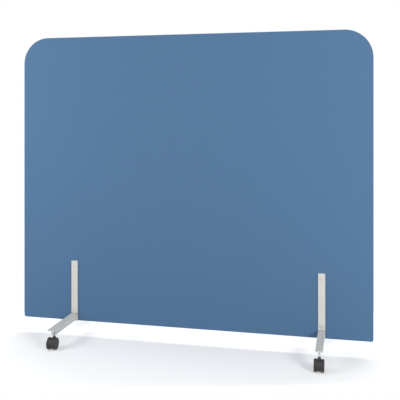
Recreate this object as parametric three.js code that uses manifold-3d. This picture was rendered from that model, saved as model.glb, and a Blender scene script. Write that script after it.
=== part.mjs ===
// Rolling partition: an upholstered panel on two pairs of welded steel T-feet with four twin-wheel casters.
// Millimetres. X runs along the panel, with +X to the right seen from the front. The front looks along -Y,
// and Z is up. The origin is on the floor, under the middle of the panel.
import * as THREE from "three";
import { mergeVertices } from "three/addons/utils/BufferGeometryUtils.js";
import Module from "manifold-3d";

const wasm = await Module();
wasm.setup();

// ---- Panel ----
const panelWidth = 1600;
const panelHeight = 1315;
const panelThickness = 36;
const floorGap = 52.5; // floor to the panel's lower edge
const topCornerRadius = 120;
const bottomCornerRadius = 9;
const edgeRounding = 4; // the fabric rolls over the edge at this radius
const coverThickness = 2; // fabric with its thin lining
const boardThickness = 3;
const railWidth = 44; // timber of the perimeter frame, across its length
const postWidth = 60; // timber posts that take the leg bolts
const centrePostWidth = 44;

// ---- Legs: one bracket in front of the panel and one behind it, at each leg ----
const leftLegInset = 258; // panel's left edge to the leg's centre line
const rightLegInset = 214; // panel's right edge to the leg's centre line
const plateWidth = 30; // upright plate, and the foot's flange
const plateHeight = 278;
const plateThickness = 5;
const plateCornerRadius = 2;
const flangeRise = 34; // panel's lower edge up to the top of the foot
const flangeThickness = 5;
const flangeCornerRadius = 3;
const webThickness = 5;
const webRootFillet = 3;
const footReach = 254; // panel's face to the foot's tip
const stemTipInset = 36; // foot's tip back to the caster's stem
const slotWidth = 20; // the gap in the web that the caster's stem stands in
const slotMouthChamfer = 2;
const noseTipInset = 13; // foot's tip back to the front end of the web
const noseRise = 8; // panel's lower edge up to the web's underside in front of the slot
const weldLeg = 2.5;

// ---- Leg bolts: a screw from the front into a sleeve nut from behind ----
const lowerBoltRise = 53; // panel's lower edge to the lower bolt
const upperBoltDrop = 25; // top of the upright plate down to the upper bolt
const boltDiameter = 6;
const boltHeadDiameter = 17;
const boltHeadThickness = 2.2;
const boltHeadChamfer = 0.6;
const boltPastMiddle = 6; // the screw's tip, past the panel's middle plane
const sleeveWall = 1;
const sleevePastMiddle = 12; // the sleeve's mouth, past the panel's middle plane
const sleeveEndWall = 3;
const socketAcrossFlats = 4;
const socketDepth = 3;

// ---- Casters ----
const wheelDiameter = 50;
const wheelWidth = 10.4;
const wheelTrail = 19; // swivel axis to the wheels' axle
const wheelRimThickness = 3.4;
const wheelDiscThickness = 2.2;
const wheelDish = 1.6; // how far the disc lies inside the rim's lip
const treadRounding = 2.2; // the tread rolls over its outer edge at this radius
const wheelHubWall = 3.4;
const wheelCapWall = 1.6; // closed end of the wheel's bore
const axleDiameter = 6;
const axleBossWall = 2.4;
const housingWidth = 17.8; // the part between the wheels
const housingWall = 2.2;
const housingEdgeRounding = 0.7;
const guardInset = 0.5; // the guard between the treads lies this far inside their circle
const guardHeel = 8.5; // the guard's lower end above the floor
const hubDiameter = 13;
const hubMouthWall = 0.9; // wall round the pin at the hub's top
const hubRise = 3; // hub's top above the wheels
const hubTaper = 5; // height over which the hub narrows to its mouth
const hubShoulder = 42; // the hub is as wide as the housing up to this height above the floor
const hubFoot = 17; // the hub's lower end above the floor
const pinDiameter = 7;
const pinEndChamfer = 1;
const pinEndWall = 3; // housing left under the pin
const clipThickness = 1.2;
const clipDrop = 11; // hub's top down to the spring clip
const clipWire = 1.7; // radial width of the clip
const clipMouth = THREE.MathUtils.degToRad(70);
const grooveDepth = 0.9;
const threadDiameter = 8;
const threadShort = 0.5; // thread ends this far below the top of the foot
const collarHeight = 3.5;
const collarAcrossFlats = 9;

// How far each front caster's wheels are turned from straight outwards. The rear pair mirrors them.
const leftCasterTurn = THREE.MathUtils.degToRad(3);
const rightCasterTurn = THREE.MathUtils.degToRad(-1);

// ---- Fits ----
const seatGap = 0.3; // between pieces that touch
const boltHoleClearance = 0.5; // around the sleeve, in the panel and the plates
const runningClearance = 0.2; // around the pin and the axle
const wheelSideClearance = 0.7; // between wheel and housing

// ---- Facets: an arc in a shape is drawn with twice as many ----
const cornerSegments = 5;
const filletSegments = 1;
const guardSegments = 8;
const wheelSegments = 24; // a multiple of four, so that a corner stands on the floor
const treadSteps = 2;
const turnedSegments = 12;
const holeSegments = 10;

// ---- Places worked out from the sizes above ----
const panelBottom = floorGap;
const panelTop = floorGap + panelHeight;
const panelFace = panelThickness / 2;
const frameInset = coverThickness + seatGap;
const frameDepth = panelThickness - 2 * (frameInset + boardThickness + seatGap);
const plateBack = panelFace + seatGap;
const plateFront = plateBack + plateThickness;
const headSeat = plateFront + seatGap;
const leftLegX = -panelWidth / 2 + leftLegInset;
const rightLegX = panelWidth / 2 - rightLegInset;
const lowerBoltZ = panelBottom + lowerBoltRise;
const upperBoltZ = panelBottom + plateHeight - upperBoltDrop;
const sleeveRadius = boltDiameter / 2 + seatGap + sleeveWall;
const boltHoleRadius = sleeveRadius + boltHoleClearance;
const flangeTop = panelBottom + flangeRise;
const flangeUnderside = flangeTop - flangeThickness;
const footTip = panelFace + footReach;
const stemPlace = footTip - stemTipInset;
const wheelRadius = wheelDiameter / 2;
const wheelInnerFace = housingWidth / 2 + wheelSideClearance;
const guardRadius = wheelRadius - guardInset;
const hubTop = wheelDiameter + hubRise;
const collarBottom = hubTop + seatGap;
const collarTop = collarBottom + collarHeight;
const pinBottom = hubFoot + pinEndWall + seatGap;
const clipBottom = hubTop - clipDrop;

const legs = [
  { side: "left", x: leftLegX, casterTurn: leftCasterTurn },
  { side: "right", x: rightLegX, casterTurn: rightCasterTurn },
];
const ends = [
  { end: "front", turn: 0 },
  { end: "rear", turn: Math.PI },
];

// ---- Colours and finishes ----
const finishes = {
  fabric: { color: 0x5a7da3, roughness: 0.95, metalness: 0 },
  board: { color: 0x9b7b55, roughness: 0.8, metalness: 0 },
  timber: { color: 0xc9a877, roughness: 0.7, metalness: 0 },
  absorber: { color: 0xd8d4c4, roughness: 1, metalness: 0 },
  paintedSteel: { color: 0xd2d2d0, roughness: 0.45, metalness: 0.2 },
  zinc: { color: 0xb9bcc0, roughness: 0.35, metalness: 0.9 },
  nylon: { color: 0x2b2c2e, roughness: 0.55, metalness: 0 },
  steel: { color: 0x9a9da1, roughness: 0.3, metalness: 1 },
};

const partition = new THREE.Group();

function addPiece(name, geometry, finish, parent = partition) {
  const mesh = new THREE.Mesh(geometry, new THREE.MeshStandardMaterial(finishes[finish]));
  mesh.name = name;
  parent.add(mesh);
  return mesh;
}

// ---- Joining and cutting ----
function solidOf(geometry) {
  const bare = geometry.clone();
  bare.deleteAttribute("normal");
  bare.deleteAttribute("uv");
  const merged = mergeVertices(bare, 1e-4);
  const vertProperties = new Float32Array(merged.attributes.position.array);
  const triVerts = new Uint32Array(merged.index.array);
  return new wasm.Manifold(new wasm.Mesh({ numProp: 3, vertProperties, triVerts }));
}

function geometryOf(solid) {
  const { vertProperties, triVerts } = solid.getMesh();
  const geometry = new THREE.BufferGeometry();
  geometry.setAttribute("position", new THREE.BufferAttribute(vertProperties, 3));
  geometry.setIndex(new THREE.BufferAttribute(triVerts, 1));
  geometry.computeVertexNormals();
  return geometry;
}

function joined(geometries) {
  const [first, ...others] = geometries.map(solidOf);
  return others.reduce((whole, next) => whole.add(next), first);
}

function without(solid, geometries) {
  return geometries.map(solidOf).reduce((rest, cut) => rest.subtract(cut), solid);
}

// ---- Forms ----
// A shape drawn in X and Z, given a thickness along Y that ends at `back`, its rear face.
function upright(shape, back, thickness, curveSegments = cornerSegments) {
  const options = { depth: thickness, bevelEnabled: false, curveSegments };
  return new THREE.ExtrudeGeometry(shape, options).rotateX(Math.PI / 2).translate(0, back, 0);
}

// A profile of [radius, height] points turned about Z. It runs upwards on the outside.
function turned(profile, segments = turnedSegments) {
  const points = profile.map(([radius, height]) => new THREE.Vector2(radius, height));
  return new THREE.LatheGeometry(points, segments).rotateX(Math.PI / 2);
}

function rod(radius, bottom, top, segments = turnedSegments) {
  return turned([[0, bottom], [radius, bottom], [radius, top], [0, top]], segments);
}

// A six-sided bar about Z, with flats facing +X and -X.
function hexBar(acrossFlats, bottom, top) {
  return rod(acrossFlats / Math.sqrt(3), bottom, top, 6);
}

function block(left, right, back, front, bottom, top) {
  const geometry = new THREE.BoxGeometry(right - left, front - back, top - bottom);
  return geometry.translate((left + right) / 2, (back + front) / 2, (bottom + top) / 2);
}

// A rectangle in X and Z whose corners have their own radii.
function cornered(left, right, bottom, top, radii) {
  const { lowerLeft = 0, lowerRight = 0, upperRight = 0, upperLeft = 0 } = radii;
  const quarter = Math.PI / 2;
  const corners = [
    { x: right - lowerRight, z: bottom + lowerRight, radius: lowerRight, start: -quarter },
    { x: right - upperRight, z: top - upperRight, radius: upperRight, start: 0 },
    { x: left + upperLeft, z: top - upperLeft, radius: upperLeft, start: quarter },
    { x: left + lowerLeft, z: bottom + lowerLeft, radius: lowerLeft, start: 2 * quarter },
  ];
  const shape = new THREE.Shape();
  shape.moveTo(left + lowerLeft, bottom);
  for (const { x, z, radius, start } of corners) {
    if (radius > 0) shape.absarc(x, z, radius, start, start + quarter, false);
    else shape.lineTo(x, z);
  }
  shape.closePath();
  return shape;
}

// ---- Panel ----
// The panel's outline, drawn `inset` inside its finished edge.
function panelOutline(inset) {
  const edge = panelWidth / 2 - inset;
  const upper = topCornerRadius - inset;
  const lower = Math.max(bottomCornerRadius - inset, edgeRounding);
  const radii = { lowerLeft: lower, lowerRight: lower, upperRight: upper, upperLeft: upper };
  return cornered(-edge, edge, panelBottom + inset, panelTop - inset, radii);
}

// The four clearance holes for the leg bolts, right through the panel and the plates.
function boltHoles() {
  const holes = [];
  for (const leg of legs) {
    for (const z of [lowerBoltZ, upperBoltZ]) {
      const hole = rod(boltHoleRadius, -headSeat, headSeat, holeSegments).rotateX(Math.PI / 2);
      holes.push(hole.translate(leg.x, 0, z));
    }
  }
  return holes;
}

function addPanelPiece(name, geometry, finish) {
  addPiece(name, geometryOf(without(solidOf(geometry), boltHoles())), finish);
}

// The whole panel with its rolled edges, as the stretched fabric shows it.
function panelBlock() {
  const geometry = new THREE.ExtrudeGeometry(panelOutline(0), {
    depth: panelThickness - 2 * edgeRounding,
    bevelEnabled: true,
    bevelThickness: edgeRounding,
    bevelSize: edgeRounding,
    bevelOffset: -edgeRounding,
    bevelSegments: 2,
    curveSegments: cornerSegments,
  });
  return geometry.rotateX(Math.PI / 2).translate(0, panelFace - edgeRounding, 0);
}

// Each cover is a tray that wraps half of the edge. The two meet at a seam on the middle plane.
function addCovers() {
  const hollowDepth = panelThickness - 2 * coverThickness;
  const hollow = upright(panelOutline(coverThickness), hollowDepth / 2, hollowDepth);
  const shell = without(solidOf(panelBlock()), [hollow, ...boltHoles()]);
  const reach = panelWidth; // wider than the half panel in every direction
  const seam = seatGap / 2;
  const rearHalf = block(-reach, reach, -seam, reach, -reach, panelTop + reach);
  const frontHalf = block(-reach, reach, -reach, seam, -reach, panelTop + reach);
  addPiece("front_cover", geometryOf(without(shell, [rearHalf])), "fabric");
  addPiece("rear_cover", geometryOf(without(shell, [frontHalf])), "fabric");
}

function addBackingBoards() {
  const outline = panelOutline(frameInset);
  const near = frameDepth / 2 + seatGap;
  addPanelPiece("front_backing_board", upright(outline, -near, boardThickness), "board");
  addPanelPiece("rear_backing_board", upright(outline, near + boardThickness, boardThickness), "board");
}

// The timber frame: straight rails and stiles, quarter-round corner blocks and three posts.
function addFrame() {
  const edge = panelWidth / 2 - frameInset;
  const innerEdge = edge - railWidth;
  const bottom = panelBottom + frameInset;
  const top = panelTop - frameInset;
  const cornerX = panelWidth / 2 - topCornerRadius;
  const cornerZ = panelTop - topCornerRadius;
  const back = frameDepth / 2;

  const timber = (name, left, right, low, high, radii = {}) => {
    const shape = cornered(left, right, low, high, radii);
    addPanelPiece(name, upright(shape, back, frameDepth), "timber");
  };

  const cornerBlock = (name, direction) => {
    const outer = topCornerRadius - frameInset;
    const inner = outer - railWidth;
    const from = direction > 0 ? 0 : Math.PI / 2;
    const shape = new THREE.Shape();
    shape.absarc(direction * cornerX, cornerZ, outer, from, from + Math.PI / 2, false);
    shape.absarc(direction * cornerX, cornerZ, inner, from + Math.PI / 2, from, true);
    shape.closePath();
    addPanelPiece(name, upright(shape, back, frameDepth), "timber");
  };

  const stileTop = cornerZ - seatGap;
  const railEnd = cornerX - seatGap;
  const lowerRadius = Math.max(bottomCornerRadius - frameInset, edgeRounding);
  timber("frame_left_stile", -edge, -innerEdge, bottom, stileTop, { lowerLeft: lowerRadius });
  timber("frame_right_stile", innerEdge, edge, bottom, stileTop, { lowerRight: lowerRadius });
  timber("frame_top_rail", -railEnd, railEnd, top - railWidth, top);
  timber("frame_bottom_rail", -innerEdge + seatGap, innerEdge - seatGap, bottom, bottom + railWidth);
  cornerBlock("frame_left_corner", -1);
  cornerBlock("frame_right_corner", 1);

  const postBottom = bottom + railWidth + seatGap;
  const postTop = top - railWidth - seatGap;
  const post = (name, x, width) => timber(name, x - width / 2, x + width / 2, postBottom, postTop);
  const centreX = (leftLegX + rightLegX) / 2;
  post("frame_left_post", leftLegX, postWidth);
  post("frame_right_post", rightLegX, postWidth);
  post("frame_centre_post", centreX, centrePostWidth);

  addAbsorbers({ innerEdge, postBottom, postTop, centreX });
}

// Sound absorbing boards fill the bays between the posts. The outer two are rounded to pass the corners.
function addAbsorbers({ innerEdge, postBottom, postTop, centreX }) {
  const depth = frameDepth - 2 * seatGap;
  const cornerPass = Math.max(topCornerRadius - frameInset - railWidth - seatGap, seatGap);
  const besidePost = postWidth / 2 + seatGap;
  const besideCentre = centrePostWidth / 2 + seatGap;
  const reach = innerEdge - seatGap;
  const bays = [
    { name: "left", from: -reach, to: leftLegX - besidePost, radii: { upperLeft: cornerPass } },
    { name: "centre_left", from: leftLegX + besidePost, to: centreX - besideCentre, radii: {} },
    { name: "centre_right", from: centreX + besideCentre, to: rightLegX - besidePost, radii: {} },
    { name: "right", from: rightLegX + besidePost, to: reach, radii: { upperRight: cornerPass } },
  ];
  for (const { name, from, to, radii } of bays) {
    const shape = cornered(from, to, postBottom, postTop, radii);
    addPanelPiece("absorber_" + name, upright(shape, depth / 2, depth), "absorber");
  }
}

// ---- Legs ----
// The foot's T-section, its flange on top, with rounded roots between web and flange.
function teeSection() {
  const half = plateWidth / 2;
  const webHalf = webThickness / 2;
  const root = webRootFillet;
  const shape = new THREE.Shape();
  shape.moveTo(-webHalf, panelBottom);
  shape.lineTo(webHalf, panelBottom);
  shape.lineTo(webHalf, flangeUnderside - root);
  shape.absarc(webHalf + root, flangeUnderside - root, root, Math.PI, Math.PI / 2, true);
  shape.lineTo(half, flangeUnderside);
  shape.lineTo(half, flangeTop);
  shape.lineTo(-half, flangeTop);
  shape.lineTo(-half, flangeUnderside);
  shape.absarc(-webHalf - root, flangeUnderside - root, root, Math.PI / 2, 0, true);
  shape.closePath();
  return shape;
}

// A triangular weld bead along X or Z in the corner between the upright plate and the foot.
function weldBeads() {
  const start = -plateFront + seatGap;
  const side = webThickness / 2 - seatGap;
  const bead = new THREE.Shape();
  bead.moveTo(0, 0);
  bead.lineTo(weldLeg + seatGap, 0);
  bead.lineTo(0, weldLeg + seatGap);
  bead.closePath();
  const options = { depth: flangeUnderside - webRootFillet - panelBottom, bevelEnabled: false };
  const rightBead = new THREE.ExtrudeGeometry(bead, options).rotateZ(-Math.PI / 2);
  const leftBead = new THREE.ExtrudeGeometry(bead, options).rotateZ(Math.PI);
  return [rightBead.translate(side, start, panelBottom), leftBead.translate(-side, start, panelBottom)];
}

// Upright plate and T-foot, welded into one piece. It is drawn on the leg's centre line, in front.
function bracketGeometry() {
  const half = plateWidth / 2;
  const plateRadii = { upperLeft: plateCornerRadius, upperRight: plateCornerRadius };
  const plateShape = cornered(-half, half, panelBottom, panelBottom + plateHeight, plateRadii);
  const plate = upright(plateShape, -plateBack, plateThickness, filletSegments);

  const footBack = plateBack + plateThickness / 2; // inside the plate
  const foot = upright(teeSection(), -footBack, footTip - footBack, filletSegments);

  const cuts = [acrossX(webEndCut(), plateWidth), ...tipCornerCuts(half)];
  const welded = without(joined([plate, foot, ...weldBeads()]), cuts);
  const tapping = rod(threadDiameter / 2 + seatGap, flangeUnderside - seatGap, flangeTop + seatGap);
  const holes = [lowerBoltZ, upperBoltZ].map((z) => {
    const hole = rod(boltHoleRadius, -headSeat, headSeat, holeSegments);
    return hole.rotateX(Math.PI / 2).translate(0, 0, z);
  });
  return geometryOf(without(welded, [tapping.translate(0, -stemPlace, 0), ...holes]));
}

// What is cut from the web at its front end: the slot round the stem, the space under the nose in front of
// the slot, and the space in front of the nose. It is seen along X, with Y to the right and Z up.
function webEndCut() {
  const below = panelBottom - slotMouthChamfer;
  const slotBack = -stemPlace + slotWidth / 2;
  const slotFront = -stemPlace - slotWidth / 2;
  const beyondTip = -footTip - seatGap;
  const noseBottom = panelBottom + noseRise;
  const cut = new THREE.Shape();
  cut.moveTo(beyondTip, flangeUnderside);
  cut.lineTo(beyondTip, below);
  cut.lineTo(slotBack + 2 * slotMouthChamfer, below);
  cut.lineTo(slotBack, panelBottom + slotMouthChamfer);
  cut.lineTo(slotBack, flangeUnderside);
  cut.lineTo(slotFront, flangeUnderside);
  cut.lineTo(slotFront, noseBottom);
  cut.lineTo(-footTip + noseTipInset, noseBottom);
  cut.lineTo(-footTip + noseTipInset, flangeUnderside);
  cut.closePath();
  return cut;
}

// What is cut away to round the flange's two corners at the foot's tip.
function tipCornerCuts(half) {
  const radius = flangeCornerRadius;
  return [-1, 1].map((direction) => {
    const cut = new THREE.Shape(); // seen from above
    const x = direction * (half - radius);
    const y = -footTip + radius;
    const outside = seatGap;
    const from = direction > 0 ? 0 : Math.PI;
    cut.moveTo(direction * (half + outside), y);
    cut.lineTo(x + direction * radius, y);
    cut.absarc(x, y, radius, from, -Math.PI / 2, direction > 0);
    cut.lineTo(x, -footTip - outside);
    cut.lineTo(direction * (half + outside), -footTip - outside);
    cut.closePath();
    const depth = flangeThickness + 2 * seatGap;
    const options = { depth, bevelEnabled: false, curveSegments: filletSegments };
    return new THREE.ExtrudeGeometry(cut, options).translate(0, 0, flangeUnderside - seatGap);
  });
}

// A shape drawn in Y and Z, given a width along X about the middle.
function acrossX(shape, width, bevel = 0) {
  const geometry = new THREE.ExtrudeGeometry(shape, {
    depth: width - 2 * bevel,
    bevelEnabled: bevel > 0,
    bevelThickness: bevel,
    bevelSize: bevel,
    bevelOffset: -bevel,
    bevelSegments: 1,
    curveSegments: guardSegments,
  });
  const alongX = new THREE.Vector3(1, 0, 0);
  const alongY = new THREE.Vector3(0, 1, 0);
  const alongZ = new THREE.Vector3(0, 0, 1);
  geometry.translate(0, 0, bevel - width / 2);
  return geometry.applyMatrix4(new THREE.Matrix4().makeBasis(alongY, alongZ, alongX));
}

// A flat head with a hexagonal socket, its seat at height 0 and the shank below it.
function headProfile(shankRadius, shankLength) {
  const headRadius = boltHeadDiameter / 2;
  return [
    [0, -shankLength],
    [shankRadius, -shankLength],
    [shankRadius, 0],
    [headRadius, 0],
    [headRadius, boltHeadThickness - boltHeadChamfer],
    [headRadius - boltHeadChamfer, boltHeadThickness],
    [0, boltHeadThickness],
  ];
}

function socketCut() {
  return hexBar(socketAcrossFlats, boltHeadThickness - socketDepth, boltHeadThickness + seatGap);
}

function boltGeometry() {
  const screw = turned(headProfile(boltDiameter / 2, headSeat + boltPastMiddle));
  return geometryOf(without(solidOf(screw), [socketCut()]));
}

function nutGeometry() {
  const length = headSeat + sleevePastMiddle;
  const sleeve = turned(headProfile(sleeveRadius, length));
  const bore = rod(boltDiameter / 2 + seatGap, -length - seatGap, -sleeveEndWall);
  return geometryOf(without(solidOf(sleeve), [bore, socketCut()]));
}

function addLegs() {
  const bracket = bracketGeometry();
  const screw = boltGeometry();
  const nut = nutGeometry();
  for (const { side, x } of legs) {
    for (const { end, turn } of ends) {
      const mesh = addPiece(`bracket_${end}_${side}`, bracket, "paintedSteel");
      mesh.position.x = x;
      mesh.rotation.z = turn;
    }
    for (const [level, z] of [["lower", lowerBoltZ], ["upper", upperBoltZ]]) {
      const front = addPiece(`bolt_${side}_${level}`, screw, "zinc");
      front.position.set(x, -headSeat, z);
      front.rotation.x = Math.PI / 2;
      const rear = addPiece(`nut_${side}_${level}`, nut, "zinc");
      rear.position.set(x, headSeat, z);
      rear.rotation.x = -Math.PI / 2;
    }
  }
}

// ---- Casters: drawn with the swivel axis on Z and the wheels trailing towards -Y ----
function stemGeometry() {
  const pinRadius = pinDiameter / 2;
  const groove = pinRadius - grooveDepth;
  const threadRadius = threadDiameter / 2;
  const threadTop = flangeTop - threadShort;
  const body = turned([
    [0, pinBottom],
    [pinRadius - pinEndChamfer, pinBottom],
    [pinRadius, pinBottom + pinEndChamfer],
    [pinRadius, clipBottom - seatGap],
    [groove, clipBottom - seatGap],
    [groove, clipBottom + clipThickness + seatGap],
    [pinRadius, clipBottom + clipThickness + seatGap],
    [pinRadius, collarBottom + seatGap],
    [threadRadius, collarTop - seatGap],
    [threadRadius, threadTop - pinEndChamfer],
    [threadRadius - pinEndChamfer, threadTop],
    [0, threadTop],
  ]);
  return geometryOf(joined([body, hexBar(collarAcrossFlats, collarBottom, collarTop)]));
}

// The open spring ring that sits in the pin's groove and in a recess of the housing's bore.
function clipGeometry() {
  const inner = pinDiameter / 2 - grooveDepth + seatGap;
  const outer = inner + clipWire;
  const from = clipMouth / 2;
  const to = 2 * Math.PI - clipMouth / 2;
  const ring = new THREE.Shape();
  ring.absarc(0, 0, outer, from, to, false);
  ring.absarc(0, 0, inner, to, from, true);
  ring.closePath();
  const options = { depth: clipThickness, bevelEnabled: false, curveSegments: cornerSegments };
  return new THREE.ExtrudeGeometry(ring, options).translate(0, 0, clipBottom);
}

// Moulded housing between the wheels: two cheeks and the curved guard that joins them, hollow and open
// below, with the swivel hub and the axle's boss inside, in one piece.
function housingGeometry() {
  const axleY = -wheelTrail;
  const toe = Math.acos(wheelTrail / guardRadius); // straight above the swivel's axis
  const cheek = new THREE.Shape(); // seen along X: Y to the right, Z up
  cheek.absarc(axleY, wheelRadius, guardRadius, heelAngle(guardRadius, guardHeel), toe, true);
  cheek.lineTo(0, hubFoot);
  cheek.lineTo(axleY / 2, guardHeel);
  cheek.closePath();

  const innerRadius = guardRadius - housingWall;
  const below = guardHeel - housingWall;
  const hollow = new THREE.Shape();
  hollow.absarc(axleY, wheelRadius, innerRadius, heelAngle(innerRadius, below), toe, true);
  hollow.lineTo(0, below);
  hollow.closePath();
  const shell = without(solidOf(acrossX(cheek, housingWidth, housingEdgeRounding)), [
    acrossX(hollow, housingWidth - 2 * housingWall),
  ]);

  const shoulderRadius = housingWidth / 2;
  const hubRadius = hubDiameter / 2;
  const bore = pinDiameter / 2 + runningClearance;
  const hub = turned([
    [0, hubFoot],
    [shoulderRadius, hubFoot],
    [shoulderRadius, hubShoulder],
    [hubRadius, hubShoulder + shoulderRadius - hubRadius],
    [hubRadius, hubTop - hubTaper],
    [bore + hubMouthWall, hubTop],
    [0, hubTop],
  ]);
  const axleBore = axleDiameter / 2 + runningClearance;
  const bossEnd = (housingWidth - housingWall) / 2; // inside the cheeks
  const axleBoss = rod(axleBore + axleBossWall, -bossEnd, bossEnd).rotateY(Math.PI / 2);

  const body = shell.add(solidOf(hub)).add(solidOf(axleBoss.translate(0, axleY, wheelRadius)));
  const recess = pinDiameter / 2 - grooveDepth + clipWire + 2 * seatGap;
  const pinHole = rod(bore, hubFoot + pinEndWall, hubTop + seatGap);
  const clipRecess = rod(recess, clipBottom - seatGap, clipBottom + clipThickness + seatGap);
  const axleHole = rod(axleBore, -housingWidth, housingWidth).rotateY(Math.PI / 2);
  return geometryOf(without(body, [pinHole, clipRecess, axleHole.translate(0, axleY, wheelRadius)]));
}

// Where a circle about the axle comes down to a height above the floor, on the side away from the swivel.
function heelAngle(radius, height) {
  return Math.PI + Math.asin((wheelRadius - height) / radius);
}

function axleGeometry() {
  const boreEnd = wheelInnerFace + wheelWidth - wheelDish - wheelCapWall;
  const half = boreEnd - seatGap;
  return rod(axleDiameter / 2, -half, half).rotateY(Math.PI / 2).translate(0, -wheelTrail, wheelRadius);
}

// A wheel hollow on the side of the housing, with a dished disc, a rim lip and a blind bore. Its axis is X.
function wheelGeometry(direction) {
  const bore = axleDiameter / 2 + runningClearance;
  const hub = bore + wheelHubWall;
  const rimInside = wheelRadius - wheelRimThickness;
  const discOut = wheelWidth - wheelDish;
  const discIn = discOut - wheelDiscThickness;
  const treadEdge = [];
  for (let step = 0; step <= treadSteps; step += 1) {
    const angle = (step / treadSteps) * (Math.PI / 2);
    const radius = wheelRadius - treadRounding + treadRounding * Math.cos(angle);
    treadEdge.push([radius, wheelWidth - treadRounding + treadRounding * Math.sin(angle)]);
  }
  const wheel = turned([
    [0, discOut - wheelCapWall],
    [bore, discOut - wheelCapWall],
    [bore, 0],
    [hub, 0],
    [hub, discIn],
    [rimInside, discIn],
    [rimInside, 0],
    [wheelRadius, 0],
    ...treadEdge,
    [rimInside, wheelWidth],
    [rimInside - wheelDish, discOut],
    [hub + wheelDish, discOut],
    [hub, wheelWidth - wheelDish / 2],
    [0, wheelWidth - wheelDish / 2],
  ], wheelSegments);
  wheel.rotateY((direction * Math.PI) / 2);
  return wheel.translate(direction * wheelInnerFace, -wheelTrail, wheelRadius);
}

function addCasters() {
  const stem = stemGeometry();
  const clip = clipGeometry();
  const housing = housingGeometry();
  const axle = axleGeometry();
  const wheels = { [-1]: wheelGeometry(-1), [1]: wheelGeometry(1) };
  for (const { side, x, casterTurn } of legs) {
    for (const { end } of ends) {
      const inFront = end === "front";
      const caster = new THREE.Group();
      caster.position.set(x, inFront ? -stemPlace : stemPlace, 0);
      caster.rotation.z = inFront ? casterTurn : Math.PI - casterTurn;
      partition.add(caster);
      const prefix = `caster_${end}_${side}_`;
      addPiece(prefix + "stem", stem, "steel", caster);
      addPiece(prefix + "clip", clip, "steel", caster);
      addPiece(prefix + "housing", housing, "nylon", caster);
      addPiece(prefix + "axle", axle, "steel", caster);
      // The wheel on the caster's own +X side is the right-hand one in front and the left-hand one behind.
      const plusIsOuter = inFront === (side === "right");
      addPiece(prefix + "outer_wheel", wheels[plusIsOuter ? 1 : -1], "nylon", caster);
      addPiece(prefix + "inner_wheel", wheels[plusIsOuter ? -1 : 1], "nylon", caster);
    }
  }
}

addCovers();
addBackingBoards();
addFrame();
addLegs();
addCasters();

export default partition;
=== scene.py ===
import math

import bpy
from mathutils import Matrix, Vector


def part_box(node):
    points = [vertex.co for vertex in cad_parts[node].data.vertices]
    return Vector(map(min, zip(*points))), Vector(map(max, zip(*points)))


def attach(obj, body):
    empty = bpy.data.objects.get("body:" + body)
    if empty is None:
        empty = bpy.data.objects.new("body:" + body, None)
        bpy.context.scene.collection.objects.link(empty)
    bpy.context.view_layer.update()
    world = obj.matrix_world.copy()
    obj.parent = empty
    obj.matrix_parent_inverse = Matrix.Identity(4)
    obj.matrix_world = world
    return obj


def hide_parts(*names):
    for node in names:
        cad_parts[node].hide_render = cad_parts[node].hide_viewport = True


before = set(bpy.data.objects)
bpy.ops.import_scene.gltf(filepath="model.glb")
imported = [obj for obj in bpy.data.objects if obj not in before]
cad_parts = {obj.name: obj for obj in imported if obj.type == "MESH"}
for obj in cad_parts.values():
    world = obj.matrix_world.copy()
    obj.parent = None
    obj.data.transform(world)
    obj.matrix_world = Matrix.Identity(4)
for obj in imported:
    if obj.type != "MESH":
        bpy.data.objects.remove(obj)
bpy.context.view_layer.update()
print("frame loaded")


# Small helpers for meshes.
sameSpot = 0.00001  # metres: what lies closer than this is in one place
parallel = 0.9  # from this cosine on, two directions count as one
mergeWithin = 0.00002
flatWithin = 0.5  # degrees


def finishPiece(piece, name, body, slotName, *nodes):
    piece.name = name
    piece.data.name = name
    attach(piece, body)
    if nodes:
        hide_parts(*nodes)


def selectOnly(*pieces):
    if bpy.context.mode != "OBJECT":
        bpy.ops.object.mode_set(mode="OBJECT")
    bpy.ops.object.select_all(action="DESELECT")
    for piece in pieces:
        piece.select_set(True)
    bpy.context.view_layer.objects.active = pieces[0]


def startEdit(piece):
    selectOnly(piece)
    bpy.ops.object.mode_set(mode="EDIT")
    bpy.ops.mesh.select_mode(type="FACE")
    bpy.ops.mesh.select_all(action="DESELECT")


def endEdit():
    bpy.ops.object.mode_set(mode="OBJECT")


# Faces, or edges, are picked by a test on their middle, and on the normal or the direction.
# The piece stays in edit mode.
def pickFaces(piece, test):
    startEdit(piece)
    endEdit()
    for face in piece.data.polygons:
        face.select = test(face.center, face.normal)
    bpy.ops.object.mode_set(mode="EDIT")


def pickEdges(piece, test):
    startEdit(piece)
    bpy.ops.mesh.select_mode(type="EDGE")
    endEdit()
    points = piece.data.vertices
    for edge in piece.data.edges:
        start, end = (points[i].co for i in edge.vertices)
        edge.select = test((start + end) / 2, (end - start).normalized())
    bpy.ops.object.mode_set(mode="EDIT")


def bakePlace(piece):
    selectOnly(piece)
    bpy.ops.object.transform_apply(location=True, rotation=True, scale=True)


def boxAt(place, size):
    bpy.ops.object.select_all(action="DESELECT")
    bpy.ops.mesh.primitive_cube_add(size=1, location=place, scale=size)
    piece = bpy.context.object
    bakePlace(piece)
    return piece


def cylinderAt(radius, depth, place, turn=(0, 0, 0), sides=48):
    bpy.ops.object.select_all(action="DESELECT")
    bpy.ops.mesh.primitive_cylinder_add(
        vertices=sides, radius=radius, depth=depth, location=place, rotation=turn)
    piece = bpy.context.object
    bakePlace(piece)
    return piece


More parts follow.
